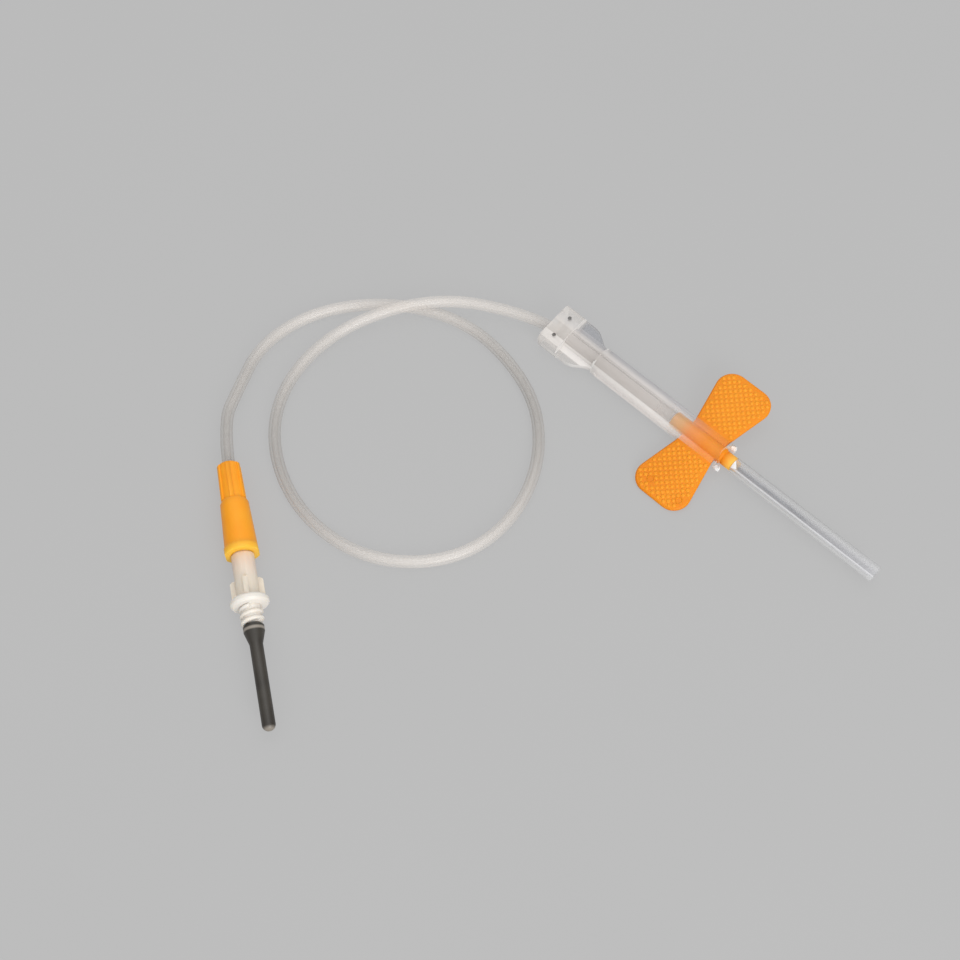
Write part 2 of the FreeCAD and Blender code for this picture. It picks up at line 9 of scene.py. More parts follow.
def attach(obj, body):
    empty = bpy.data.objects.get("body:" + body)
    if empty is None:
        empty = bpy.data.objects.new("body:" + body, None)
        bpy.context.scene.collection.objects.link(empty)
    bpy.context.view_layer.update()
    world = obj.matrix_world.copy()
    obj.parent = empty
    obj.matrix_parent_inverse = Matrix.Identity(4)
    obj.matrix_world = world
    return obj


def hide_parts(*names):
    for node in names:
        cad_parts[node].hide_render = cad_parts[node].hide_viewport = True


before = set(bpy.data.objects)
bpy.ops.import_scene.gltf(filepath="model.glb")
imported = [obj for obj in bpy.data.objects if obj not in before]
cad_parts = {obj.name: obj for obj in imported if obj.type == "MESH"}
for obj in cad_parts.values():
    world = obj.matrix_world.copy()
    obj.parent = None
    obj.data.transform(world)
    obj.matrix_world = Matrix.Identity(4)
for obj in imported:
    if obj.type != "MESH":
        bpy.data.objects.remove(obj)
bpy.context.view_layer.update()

# Winged infusion set of the safety kind, lying on a pale table. Lengths below are millimetres
# unless a name says otherwise; MM turns them to metres. X runs along the front needle.

MM = 0.001

# Places and sizes shared with the part's source

SHIELD_RADIUS = 3.4
SHIELD_REAR = -44.9
SHIELD_FRONT = 5.6
SLOT_REAR = -29.7
SLOT_WALL = 1.2
SLOT_BRIDGE = 1.4
COLLAR_LONG = 5.3
COLLAR_HALF_HIGH = 2.8
SCOOP_DEEP = 1.7
SCOOP_HALF = 2.75
WING_CENTRE = -1.05
WING_ROOT_HALF = 4.5
WING_ROOT_OUT = 2.6
WING_TIP_HALF = 7.7
WING_SPAN_HALF = 17.5
WING_THICK = 1.1
WING_CORNER = 3.9
WING_EDGE = 0.3
HUB_REAR = -9.4
HUB_SOCKET = 3.5
TUBE_OUTER = 2.7
TUBE_WALL = 0.6
LUG_WIDE = 7.6
LUG_THICK = 1.4
LUG_FACE = 21.6
FLANGE_WIDE = 8.0
FLANGE_REAR = 31.7
FLANGE_THICK = 1.75
THREAD_CORE = 4.1
RUBBER_SEAT = 37.4
RUBBER_TIP = 59.9
LUER_PLACE = (-71.44, -75.55)
LUER_HEADING = -34.5
LUER_SOCKET = 5.0
LAST_RUN = 10.3

# Bands along the clear shield and the cap: from and to across them in radii, and the tone, which
# is a colour and the milkiness of one wall. The bands are painted light and shade: the bright lines
# and the darker bands that refraction shows along a clear tube. They started from readings of
# colour across the shield and the cap in the photograph, and were changed until the render's
# readings came near those.

BAND_TILT = math.radians(21.7)
COVER_RADIUS = 1.9
SHIELD_BAND_REACH = 1.6
PLAIN_GRIP = ("D6D1CC", 0.27)
MILKY_RAIL_PAINTED_LIGHT = ("F8F3EF", 0.55)
BORE_PAINTED_HIGHLIGHT = ("FFFBF7", 0.58)
CLEAR_CORE = ("ECE5E0", 0.31)
CORE_SHADE = ("D9D3CE", 0.32)
UPPER_PAINTED_HIGHLIGHT = ("F2ECE8", 0.42)
RAIL_PAINTED_SHADE = ("BDBBBE", 0.44)
SHIELD_BANDS = [
    (-1.6, -1.14, PLAIN_GRIP), (-1.09, -0.75, MILKY_RAIL_PAINTED_LIGHT), (-0.65, -0.55, BORE_PAINTED_HIGHLIGHT),
    (-0.49, 0.13, CLEAR_CORE), (0.23, 0.31, CORE_SHADE), (0.43, 0.53, UPPER_PAINTED_HIGHLIGHT),
    (0.83, 0.98, RAIL_PAINTED_SHADE), (1.05, 1.6, PLAIN_GRIP)]
CAP_RIM = ("F2F2F1", 0.42)
CAP_SIDE = ("DADADA", 0.31)
CAP_PAINTED_HIGHLIGHT = ("F6F6F8", 0.5)
CAP_PAINTED_SHADE = ("ABABAE", 0.4)
CAP_HAZE_PAINTED_SHADE = ("BEBEC0", 0.35)
CAP_LIGHT = ("DFDFDF", 0.28)
CAP_DARK = ("BEBEBE", 0.4)
COVER_BANDS = [
    (-1.0, -0.85, CAP_RIM), (-0.68, -0.59, CAP_SIDE), (-0.53, -0.45, CAP_PAINTED_HIGHLIGHT),
    (-0.37, -0.1, CAP_PAINTED_SHADE), (0.18, 0.24, CAP_HAZE_PAINTED_SHADE), (0.47, 0.68, CAP_LIGHT),
    (0.85, 0.88, CAP_DARK), (0.98, 1.0, CAP_SIDE)]

# The glint on the cap's mouth lies behind two slanted lines, measured in the photograph: the slope
# of each and where it crosses the needle's axis

GLINT_EDGES = [(-0.832, 9.27), (2.73, 7.14)]
GLINT_BLUR = 0.15
GLINT_MILKINESS = 0.8

# Where a tone changes: where the new one begins to count and where it counts in full, along X or
# beside the middle on the needle end

# Painted glow on the hub: its nose lighter and its socket yellower, for light through their thin
# walls.
NOSE_PAINTED_GLOW = (5.0, 7.0)
SOCKET_PAINTED_GLOW = (-4.5, -7.0)
BARREL_HALF = 2.0
# The grip's web between collar and rails gets painted shade: grey-blue and milkier.
WEB_REAR = (-39.6, -39.2)
WEB_FRONT = (-31.0, -31.4)
WEB_SIDE = (2.9, 3.2)
WEB_MILKINESS = 0.42
# The ends of the rear step get a painted highlight: near white and milkier.
STEP_REAR = (-31.5, -31.3)
STEP_FRONT = (-30.5, -30.7)
STEP_SIDE = (1.8, 2.0)
STEP_MILKINESS = 0.7
COLLAR_PALE = (-39.4, -39.7)
CAP_PALE = (27.0, 45.0)

# The same on the luer end, along its axis

# Painted glow: the luer's thin mouth is yellower.
MOUTH_PAINTED_GLOW = (LUG_FACE - 2.2, LUG_FACE)
FIN_TONE = (24.0, FLANGE_REAR - 3.5)
FLANGE_TONE = (FLANGE_REAR - 0.1, FLANGE_REAR + 0.1)
THREAD_TONE = (FLANGE_REAR + FLANGE_THICK, FLANGE_REAR + 3.0)
# Painted highlights on the rubber: a ring on the head's edge, and the tip.
HEAD_PAINTED_HIGHLIGHT = [(RUBBER_SEAT + 0.8, RUBBER_SEAT + 1.1), (RUBBER_SEAT + 1.7, RUBBER_SEAT + 1.4)]
TIP_PAINTED_HIGHLIGHT = (RUBBER_TIP - 0.9, RUBBER_TIP - 0.3)

# The shield clears towards its front: places along X and the share of the milkiness left there

SHIELD_FADE = [(-14.0, 1.0), (-8.0, 0.5), (-4.0, 0.2), (0.0, 0.06)]

# The tubing's route: X, Y and the height of its centre over the centre line of a lying tube. The
# points weren't chosen by hand: a program fitted the part's route, and then this one, to the tube
# in the photograph, and this one lies up to 2.1 mm from the part's in plan. Over the crossing the
# hump is lower than the solid's, because in the photograph one strand lies on the other.
# BRIGHT_RUN is the direction of the runs that look brightest.

LYING = TUBE_OUTER / 2 + 0.05
IN_SHIELD = -37.0
BRIGHT_RUN = math.radians(56)
ROUTE = [
    (-46.5, -0.4, 1.5),
    (-56.5, -4.7, 1.9),
    (-66.2, -11.6, 2.9),
    (-74.0, -21.9, 2.9),
    (-80.0, -34.8, 0.7),
    (-79.8, -48.7, 0.0),
    (-74.2, -60.4, 0.0),
    (-63.9, -68.6, 0.0),
    (-51.1, -72.5, 0.0),
    (-37.7, -71.0, 0.0),
    (-26.6, -63.8, 0.0),
    (-19.9, -52.7, 0.0),
    (-19.5, -39.7, 0.0),
    (-24.7, -27.1, 0.0),
    (-34.2, -17.6, 0.0),
    (-46.3, -13.1, 0.0),
    (-59.2, -12.2, 0.0),
    (-71.7, -16.8, 0.0),
    (-82.0, -25.5, 0.0),
    (-88.7, -37.0, 0.0),
    (-89.9, -49.8, 0.0),
    (-84.9, -60.7, 0.4),
]


# Where the two ends of the set lie

def needle_place():
    """The needle end leans so that the shield's tube and one wing's rim touch the table."""
    out = WING_SPAN_HALF - WING_EDGE
    down = WING_THICK / 2
    lean = math.asin(SHIELD_RADIUS / math.hypot(out, down)) - math.atan2(down, out)
    return Matrix.Translation((0, 0, SHIELD_RADIUS)) @ Matrix.Rotation(lean, 4, "X")


def luer_place():
    """The luer end lies on the lugs and on the adapter's flange."""
    lugs, flange = LUG_WIDE / 2, FLANGE_WIDE / 2
    lug_middle = LUG_FACE - LUG_THICK / 2
    climb = math.asin((flange - lugs) / (FLANGE_REAR + FLANGE_THICK / 2 - lug_middle))
    foot = Matrix.Translation((*LUER_PLACE, lugs - lug_middle * math.sin(climb)))
    heading = Matrix.Rotation(math.radians(LUER_HEADING), 4, "Z")
    return foot @ heading @ Matrix.Rotation(-climb, 4, "Y")


# Colours and nodes

def linear(hex_text):
    """An sRGB hex value as linear red, green, blue and alpha."""
    parts = [int(hex_text[k:k + 2], 16) / 255 for k in (0, 2, 4)]
    return [c / 12.92 if c <= 0.04045 else ((c + 0.055) / 1.055) ** 2.4 for c in parts] + [1.0]


def feed(node, **inputs):
    """Give a node's sockets a value, another node's output, or a node for its first output."""
    for name, value in inputs.items():
        socket = node.inputs[int(name[1:]) if name[0] == "_" else name.replace("_", " ")]
        if isinstance(value, bpy.types.Node):
            value = value.outputs[0]
        if isinstance(value, bpy.types.NodeSocket):
            node.id_data.links.new(value, socket)
        else:
            socket.default_value = value


def add(tree, kind, settings=None, **inputs):
    """One node: settings are its properties, or a ramp's stops; inputs are what its sockets get."""
    node = tree.nodes.new("ShaderNode" + kind)
    settings = dict(settings or {})
    stops = settings.pop("stops", [])
    for name, value in settings.items():
        setattr(node, name, value)
    for _ in stops[2:]:
        node.color_ramp.elements.new(1.0)
    if stops:
        for element, (position, value) in zip(node.color_ramp.elements, stops):
            element.position = position
            grey = not isinstance(value, str)
            element.color = (value, value, value, 1.0) if grey else linear(value)
    feed(node, **inputs)
    return node


def plastic(name, **inputs):
    """A new material with a Principled shader; returns the material, its tree and the shader."""
    material = bpy.data.materials.new(name)
    material.use_nodes = True
    tree = material.node_tree
    tree.nodes.clear()
    shader = add(tree, "BsdfPrincipled", None, **inputs)
    add(tree, "OutputMaterial", None, Surface=shader)
    return material, tree, shader


def grain(tree, shader, size, depth):
    """Fine bumps of that size and depth in millimetres; returns the object coordinates."""
    place = add(tree, "TexCoord").outputs["Object"]
    noise = add(tree, "TexNoise", None, Vector=place, Scale=1 / (size * MM), Detail=2.0)
    feed(shader, Normal=add(tree, "Bump", None, Height=noise, Distance=depth * MM))
    return place


def blotches(tree, shader, place, size, one, two):
    """Base colour that drifts between two colours over that many millimetres."""
    cloud = add(tree, "TexNoise", None, Vector=place, Scale=1 / (size * MM), Detail=1.0)
    feed(shader, Base_Color=add(tree, "ValToRGB", {"stops": [(0.35, one), (0.65, two)]}, Fac=cloud))


def mask(tree, *edges, most=1.0):
    """The most where every edge is passed, 0 before. An edge is a value and, in millimetres, where
    it begins to count and where it counts in full."""
    product = most
    for value, begins, full in edges:
        passed = add(tree, "MapRange", None, Value=value, From_Min=begins * MM, From_Max=full * MM)
        product = add(tree, "Math", {"operation": "MULTIPLY"}, _0=product, _1=passed)
    return product


def along_luer(tree, place, *edges):
    """A mask whose edges lie along the luer end's axis, in millimetres from its rear face."""
    axis = luer_place().to_3x3() @ Vector((1, 0, 0))
    rear = axis.dot(luer_place().to_translation())
    along = add(tree, "VectorMath", {"operation": "DOT_PRODUCT"}, _0=place, _1=axis)
    reach = along.outputs["Value"]
    return mask(tree, *[(reach, rear + begins, rear + full) for begins, full in edges])


def shade(tree, shader, other, factor):
    """Move the base colour towards another colour by that factor."""
    present = shader.inputs["Base Color"].links[0].from_socket
    mixed = add(tree, "Mix", {"data_type": "RGBA"}, _0=factor, _6=present, _7=linear(other))
    feed(shader, Base_Color=mixed.outputs[2])


def see_through(tree, facing, edge, sharp):
    """Milkiness: one amount where the surface faces the eye, another at its outline."""
    slant = add(tree, "LayerWeight", None, Blend=0.5).outputs["Facing"]
    stops = [(0.0, facing), (sharp, facing + (edge - facing) * 0.2), (1.0, edge)]
    return add(tree, "ValToRGB", {"stops": stops}, Fac=slant)


def raised(tree, milky, where, amount):
    """The milkiness, brought up to that amount inside a mask."""
    patch = add(tree, "Math", {"operation": "MULTIPLY"}, _0=where, _1=amount)
    return add(tree, "Math", {"operation": "MAXIMUM"}, _0=milky, _1=patch)


# Materials

def orange_wing_vinyl(name, one, two):
    """Pigmented soft vinyl, spark-eroded mould: satin, a little light passes the thin rim."""
    material, tree, shader = plastic(name, Roughness=0.5, IOR=1.53, Specular_IOR_Level=0.3,
                                     Subsurface_Weight=0.2, Subsurface_Scale=0.8 * MM,
                                     Subsurface_Radius=(1.0, 0.5, 0.15))
    place = grain(tree, shader, size=0.25, depth=0.008)
    blotches(tree, shader, place, 9.0, one, two)
    x, y, _ = add(tree, "SeparateXYZ", None, Vector=place).outputs
    beside = add(tree, "Math", {"operation": "ABSOLUTE"}, _0=y)
    on_barrel = add(tree, "Math", {"operation": "LESS_THAN"}, _0=beside, _1=BARREL_HALF * MM)
    # Painted glow: the nose lighter and the socket yellower, for light through their thin walls.
    for colour, edge in (("FFC050", NOSE_PAINTED_GLOW), ("DE9C28", SOCKET_PAINTED_GLOW)):
        along = mask(tree, (x, *edge))
        here = add(tree, "Math", {"operation": "MULTIPLY"}, _0=along, _1=on_barrel)
        shade(tree, shader, colour, here)
    return material


def orange_luer_abs():
    """Pigmented ABS from a polished mould; its thin mouth gets a painted yellow glow of light
    coming through it.
    """
    material, tree, shader = plastic("orange_luer_abs", Roughness=0.4, IOR=1.54,
                                     Specular_IOR_Level=0.3, Subsurface_Weight=0.2,
                                     Subsurface_Scale=1.0 * MM, Subsurface_Radius=(1.0, 0.6, 0.15))
    place = grain(tree, shader, size=0.6, depth=0.004)
    blotches(tree, shader, place, 6.0, "FFA21C", "FFAA24")
    shade(tree, shader, "FFC640", along_luer(tree, place, MOUTH_PAINTED_GLOW))
    return material


def natural_polypropylene():
    """Unpigmented polypropylene: milky cream-white, a little greyer from the fins forward."""
    material, tree, shader = plastic("natural_polypropylene", Roughness=0.4, IOR=1.49,
                                     Specular_IOR_Level=0.4, Subsurface_Weight=0.35,
                                     Subsurface_Scale=1.2 * MM, Subsurface_Radius=(1.0, 0.85, 0.7))
    place = grain(tree, shader, size=0.7, depth=0.004)
    blotches(tree, shader, place, 5.0, "EEDACA", "F2E2D2")
    for colour, edge in (("EADFCF", FIN_TONE), ("EAE5DD", FLANGE_TONE), ("F0E6DA", THREAD_TONE)):
        shade(tree, shader, colour, along_luer(tree, place, edge))
    return material


def dark_latex_rubber():
    """Dipped rubber, dark grey: a broad soft highlight, and painted highlights on the head's edge
    and on the tip.
    """
    material, tree, shader = plastic("dark_latex_rubber", Roughness=0.42, IOR=1.52)
    place = grain(tree, shader, size=0.4, depth=0.006)
    blotches(tree, shader, place, 4.0, "322E29", "3C3832")
    shade(tree, shader, "948C82", along_luer(tree, place, *HEAD_PAINTED_HIGHLIGHT))
    shade(tree, shader, "8C847A", along_luer(tree, place, TIP_PAINTED_HIGHLIGHT))
    return material


def drawn_steel():
    """Stainless needle tube, drawn and polished: fine marks along its length."""
    material, tree, shader = plastic("drawn_steel", Metallic=1.0, Roughness=0.22)
    blotches(tree, shader, grain(tree, shader, size=0.08, depth=0.001), 3.0, "9FA2A6", "B4B7BA")
    return material


def hazy_polypropylene(name, one, two, facing, edge):
    """Clarified polypropylene, moulded: see-through with a haze, milkier at its outlines."""
    material, tree, shader = plastic("clear_polypropylene_" + name, Roughness=0.25, IOR=1.49)
    blotches(tree, shader, grain(tree, shader, size=2.5, depth=0.01), 6.0, one, two)
    feed(shader, Alpha=see_through(tree, facing, edge, sharp=0.6))
    return material


def banded(tree, shader, place, radius, reach, bands, facing):
    """Painted bands of light and shade along a part on the needle's axis, from its lower to its
    upper
    side as seen from in front: gives the base colour, and returns the milkiness."""
    height = add(tree, "VectorMath", {"operation": "DOT_PRODUCT"}, _0=place,
                 _1=(0, math.cos(BAND_TILT), math.sin(BAND_TILT))).outputs["Value"]
    middle, half = SHIELD_RADIUS * math.sin(BAND_TILT), reach * radius
    across = mask(tree, (height, middle - half, middle + half))
    ends = [((end / reach + 1) / 2, tone) for *pair, tone in bands for end in pair]
    colours, hazes = [[(at, tone[k]) for at, tone in ends] for k in (0, 1)]
    feed(shader, Base_Color=add(tree, "ValToRGB", {"stops": colours}, Fac=across))
    haze = add(tree, "ValToRGB", {"stops": hazes}, Fac=across)
    outline = see_through(tree, facing, edge=0.5, sharp=0.8)
    return add(tree, "Math", {"operation": "MAXIMUM"}, _0=haze, _1=outline)


def banded_polypropylene():
    """Clarified polypropylene, moulded: painted bands of light and shade along it, clearer towards
    the thin front.
    """
    material, tree, shader = plastic("clear_polypropylene", Roughness=0.3, IOR=1.49)
    place = grain(tree, shader, size=2.5, depth=0.01)
    x, y, _ = add(tree, "SeparateXYZ", None, Vector=place).outputs
    beside = add(tree, "Math", {"operation": "ABSOLUTE"}, _0=y)
    # Painted shade on the grip's web.
    painted_web_shade = mask(tree, (x, *WEB_REAR), (x, *WEB_FRONT), (y, *WEB_SIDE))
    # A painted highlight on the ends of the rear step.
    painted_step_highlight = mask(tree, (x, *STEP_REAR), (x, *STEP_FRONT), (beside, *STEP_SIDE))
    milky = banded(tree, shader, place, SHIELD_RADIUS, SHIELD_BAND_REACH, SHIELD_BANDS,
                   facing=0.03)
    milky = raised(tree, milky, painted_web_shade, WEB_MILKINESS)
    milky = raised(tree, milky, painted_step_highlight, STEP_MILKINESS)
    rear, front = SHIELD_FADE[0][0], SHIELD_FADE[-1][0]
    stops = [((at - rear) / (front - rear), share) for at, share in SHIELD_FADE]
    left = add(tree, "ValToRGB", {"stops": stops}, Fac=mask(tree, (x, rear, front)))
    feed(shader, Alpha=add(tree, "Math", {"operation": "MULTIPLY"}, _0=milky, _1=left))
    shade(tree, shader, "F0EAE4", mask(tree, (x, *COLLAR_PALE), most=0.6))
    shade(tree, shader, "9C9EA4", painted_web_shade)
    shade(tree, shader, "FFFDFA", painted_step_highlight)
    return material


def clear_polyethylene():
    """Clear extruded cap: a painted shade line and a painted highlight line along it, a painted
    glint at its mouth.
    """
    material, tree, shader = plastic("clear_polyethylene", Roughness=0.2, IOR=1.5)
    place = grain(tree, shader, size=6.0, depth=0.01)
    x = add(tree, "SeparateXYZ", None, Vector=place).outputs["X"]
    milky = banded(tree, shader, place, COVER_RADIUS, 1.0, COVER_BANDS, facing=0.05)
    shade(tree, shader, "F2F2F6", mask(tree, (x, *CAP_PALE), most=0.3))
    behind = []
    for slope, ahead in GLINT_EDGES:
        line = (-1, slope * math.cos(BAND_TILT), slope * math.sin(BAND_TILT))
        reach = add(tree, "VectorMath", {"operation": "DOT_PRODUCT"}, _0=place, _1=line)
        behind.append(add(tree, "Math", {"operation": "ADD"}, _0=reach.outputs["Value"],
                          _1=ahead * MM))
    inside = add(tree, "Math", {"operation": "MINIMUM"}, _0=behind[0], _1=behind[1])
    glint = mask(tree, (inside, 0.0, GLINT_BLUR))
    shade(tree, shader, "FFFFFF", glint)
    feed(shader, Alpha=raised(tree, milky, glint, GLINT_MILKINESS))
    return material


def soft_clear_vinyl():
    """Plasticised vinyl tubing: clear with a warm haze, brighter where it runs across the light."""
    material, tree, shader = plastic("soft_clear_vinyl", Roughness=0.15, IOR=1.5)
    grain(tree, shader, size=6.0, depth=0.01)
    lit = add(tree, "Attribute", {"attribute_name": "lit"}).outputs["Fac"]
    tones = [(0.0, "BDB8B2"), (0.5, "DCD6D0"), (1.0, "F2ECE6")]
    feed(shader, Base_Color=add(tree, "ValToRGB", {"stops": tones}, Fac=lit),
         Alpha=see_through(tree, facing=0.22, edge=0.7, sharp=0.6))
    return material


def table_top():
    """Plain pale table under even light from all sides, which leaves next to no shadow."""
    material, tree, shader = plastic("pale_table", Roughness=1.0, Specular_IOR_Level=0.0,
                                     Emission_Color=(1.0, 1.0, 1.0, 1.0), Emission_Strength=0.4)
    place = add(tree, "TexCoord").outputs["Object"]
    blotches(tree, shader, place, 60.0, "595959", "5A5A5A")
    return material


# Shapes

# Corners closer together than WELD_REACH become one; edges sharper than CRISP_EDGE are rounded

WELD_REACH = 0.002
CRISP_EDGE = math.radians(35)


def new_piece(name, shape, body, material, place=None):
    """A finished mesh as a piece of the set: moved to its place, closed, facing outwards."""
    if place is not None:
        bmesh.ops.transform(shape, matrix=place, verts=shape.verts)
    bmesh.ops.remove_doubles(shape, verts=shape.verts, dist=WELD_REACH)
    bmesh.ops.recalc_face_normals(shape, faces=shape.faces)
    bmesh.ops.scale(shape, vec=(MM, MM, MM), verts=shape.verts)
    mesh = bpy.data.meshes.new(name)
    for face in shape.faces:
        face.smooth = True
    shape.to_mesh(mesh)
    shape.free()
    piece = bpy.data.objects.new(name, mesh)
    bpy.context.scene.collection.objects.link(piece)
    mesh.materials.append(material)
    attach(piece, body)
    return piece


def dress(node, material, rounding):
    """A CAD piece that stays: joined facets, small rounded edges, smooth shading, its material."""
    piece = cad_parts[node]
    piece.data.polygons.foreach_set("use_smooth", [True] * len(piece.data.polygons))
    join = piece.modifiers.new("join", "WELD")
    join.merge_threshold = 0.001 * MM
    soften = piece.modifiers.new("soften", "BEVEL")
    soften.width = rounding * MM
    soften.segments = 2
    soften.limit_method = "ANGLE"
    soften.angle_limit = CRISP_EDGE
    soften.harden_normals = True
    piece.data.materials.clear()
    piece.data.materials.append(material)
    return piece


def paint_faces(piece, place, materials):
    """Further materials on the faces that their tests pick, by centre and normal as the part was
    drawn, in millimetres."""
    as_drawn = place.inverted()
    for material, _ in materials:
        piece.data.materials.append(material)
    for face in piece.data.polygons:
        centre = as_drawn @ (piece.matrix_world @ face.center / MM)
        normal = as_drawn.to_3x3() @ (piece.matrix_world.to_3x3() @ face.normal)
        for index, (_, wanted) in enumerate(materials, start=1):
            if wanted(centre, normal):
                face.material_index = index
                break


# Camera and light

# In metres. WALLS says how bright the surroundings are: how far a direction points to the left or
# right of the photograph's view, and the grey there.

CAMERA_PLACE = (0.05048, -0.13964, 0.25162)
SIDEWAYS = (0.734, 0.678, 0.03)
WALLS = [(0.55, 0.85), (0.85, 0.25)]
SET_MIDDLE = (-0.03, -0.05, 0)
TABLE_HALF = 2.0


def set_camera():
    """The photograph's view: from above and in front of the needle end, turned 43 degrees."""
    right = Vector((0.73403, 0.67836, 0.03185))
    up = Vector((-0.61478, 0.64385, 0.45553))
    back = Vector((0.28850, -0.35396, 0.88965))
    data = bpy.data.cameras.new("camera")
    data.lens = 48.75
    data.sensor_width = 36.0
    data.clip_start = 0.01
    camera = bpy.data.objects.new("camera", data)
    turn = Matrix((right, up, back)).transposed().to_4x4()
    camera.matrix_world = Matrix.Translation(CAMERA_PLACE) @ turn
    bpy.context.scene.collection.objects.link(camera)
    bpy.context.scene.camera = camera


def soft_light(name, place, width, power):
    """A square soft box turned to the middle of the set; its power is in watts."""
    data = bpy.data.lights.new(name, "AREA")
    data.shape = "SQUARE"
    data.size = width
    data.energy = power
    light = bpy.data.objects.new(name, data)
    light.location = place
    aim = Vector(SET_MIDDLE) - Vector(place)
    light.rotation_euler = aim.to_track_quat("-Z", "Y").to_euler()
    bpy.context.scene.collection.objects.link(light)


def set_studio():
    """Pale surroundings, darker to the left and right of the photograph's view, a soft box overhead
    and one low in front, over a plain table."""
    world = bpy.data.worlds.new("studio")
    world.use_nodes = True
    tree = world.node_tree
    direction = add(tree, "TexCoord").outputs["Generated"]
    aside = add(tree, "VectorMath", {"operation": "DOT_PRODUCT"}, _0=direction, _1=SIDEWAYS)
    either = add(tree, "Math", {"operation": "ABSOLUTE"}, _0=aside.outputs["Value"])
    feed(tree.nodes["Background"], Color=add(tree, "ValToRGB", {"stops": WALLS}, Fac=either))
    bpy.context.scene.world = world
    bpy.context.scene.view_settings.view_transform = "Standard"
    soft_light("overhead_box", (-0.1, 0.1, 0.8), width=0.5, power=0.8)
    soft_light("front_box", (0.5, -0.25, 0.35), width=0.35, power=2.0)
    shape = bmesh.new()
    bmesh.ops.create_grid(shape, x_segments=1, y_segments=1, size=TABLE_HALF)
    mesh = bpy.data.meshes.new("table")
    shape.to_mesh(mesh)
    shape.free()
    table = bpy.data.objects.new("table", mesh)
    mesh.materials.append(table_top())
    bpy.context.scene.collection.objects.link(table)


# Tubing

def tube_points():
    """The route's points in metres: wing hub, shield, table, luer hub."""
    points = [Vector((x, 0, SHIELD_RADIUS)) for x in (HUB_REAR + HUB_SOCKET, IN_SHIELD)]
    points += [Vector((x, y, rise + LYING)) for x, y, rise in ROUTE]
    place = luer_place()
    points += [place @ Vector((-LAST_RUN, 0, 0)), place @ Vector((LUER_SOCKET, 0, 0))]
    return [point * MM for point in points]


def lit_by_direction(mesh, path):
    """Note on the mesh how bright each run of the tube looks, 0 to 1: most across the light."""
    tree = KDTree(len(path))
    for index, point in enumerate(path):
        tree.insert(point, index)
    tree.balance()
    values = []
    for vertex in mesh.vertices:
        index = min(max(tree.find(vertex.co)[1], 1), len(path) - 2)
        run = path[index + 1] - path[index - 1]
        values.append(0.5 + 0.5 * math.cos(2 * (math.atan2(run.y, run.x) - BRIGHT_RUN)))
    mesh.attributes.new("lit", "FLOAT", "POINT").data.foreach_set("value", values)


def make_tubing(material):
    """Soft tube with its bore, one smooth line through the loop."""
    points = tube_points()
    line = bpy.data.curves.new("tubing_line", "CURVE")
    line.dimensions = "3D"
    line.resolution_u = 12
    spline = line.splines.new("NURBS")
    spline.points.add(len(points) - 1)
    for knot, point in zip(spline.points, points):
        knot.co = (*point, 1.0)
    spline.order_u = 3
    spline.use_endpoint_u = True
    carrier = bpy.data.objects.new("tubing_line", line)
    bpy.context.scene.collection.objects.link(carrier)
    bare = bpy.data.meshes.new_from_object(carrier)
    path = [vertex.co.copy() for vertex in bare.vertices]
    bpy.data.meshes.remove(bare)
    line.bevel_depth = TUBE_OUTER / 2 * MM
    line.bevel_resolution = 6
    skin = bpy.data.meshes.new_from_object(carrier)
    bpy.data.objects.remove(carrier)
    shape = bmesh.new()
    shape.from_mesh(skin)
    bpy.data.meshes.remove(skin)
    bmesh.ops.scale(shape, vec=(1 / MM, 1 / MM, 1 / MM), verts=shape.verts)
    bmesh.ops.remove_doubles(shape, verts=shape.verts, dist=WELD_REACH)
    bmesh.ops.recalc_face_normals(shape, faces=shape.faces)
    bmesh.ops.solidify(shape, geom=shape.faces[:], thickness=TUBE_WALL)
    tube = new_piece("soft_tubing", shape, "line", material)
    lit_by_direction(tube.data, path)
    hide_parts("tubing")


# Wing details

# The dots stand in rows turned by 45 degrees, counted back from one anchor on each wing; the step
# and the anchors are measured in the photograph. They sink a little into the face, and keep off the
# wing's outline, the shield and the round marks.

DOT_STEP = 0.77
DOT_RADIUS = 0.5
DOT_HIGH = 0.22
DOT_SUNK = 0.06
DOT_BORDER = 0.85
DOT_TO_SHIELD = 0.3
DOT_ANCHORS = [(-0.925, -9.66), (-0.154, 10.54)]
DOTS_BEFORE = 12
DOTS_UNDER = -0.88
MARKS = [(-3.98, -14.38), (3.8, -14.3)]
MARK_RADIUS = 0.75
MARK_WIRE = 0.12
MARK_LAP = 0.2


def on_wing(x, y, border):
    """True where a point of the wing's face is that far inside its outline."""
    share = (abs(y) - WING_ROOT_OUT) / (WING_SPAN_HALF - WING_ROOT_OUT)
    half = WING_ROOT_HALF + share * (WING_TIP_HALF - WING_ROOT_HALF) - border
    along, out = abs(x - WING_CENTRE), abs(y)
    if along > half or out > WING_SPAN_HALF - border:
        return False
    corner = WING_CORNER - border
    over_x = along - (half - corner)
    over_y = out - (WING_SPAN_HALF - border - corner)
    return not (over_x > 0 and over_y > 0 and math.hypot(over_x, over_y) > corner)


def copy_all(shape):
    """Copy everything in the shape; returns the copy's corners."""
    copies = bmesh.ops.duplicate(shape, geom=shape.verts[:] + shape.edges[:] + shape.faces[:])
    return [item for item in copies["geom"] if isinstance(item, bmesh.types.BMVert)]


def repeat(shape, doublings, step):
    """Double the shape that many times into an even line of copies."""
    for k in range(doublings):
        bmesh.ops.translate(shape, verts=copy_all(shape), vec=Vector(step) * 2 ** k)


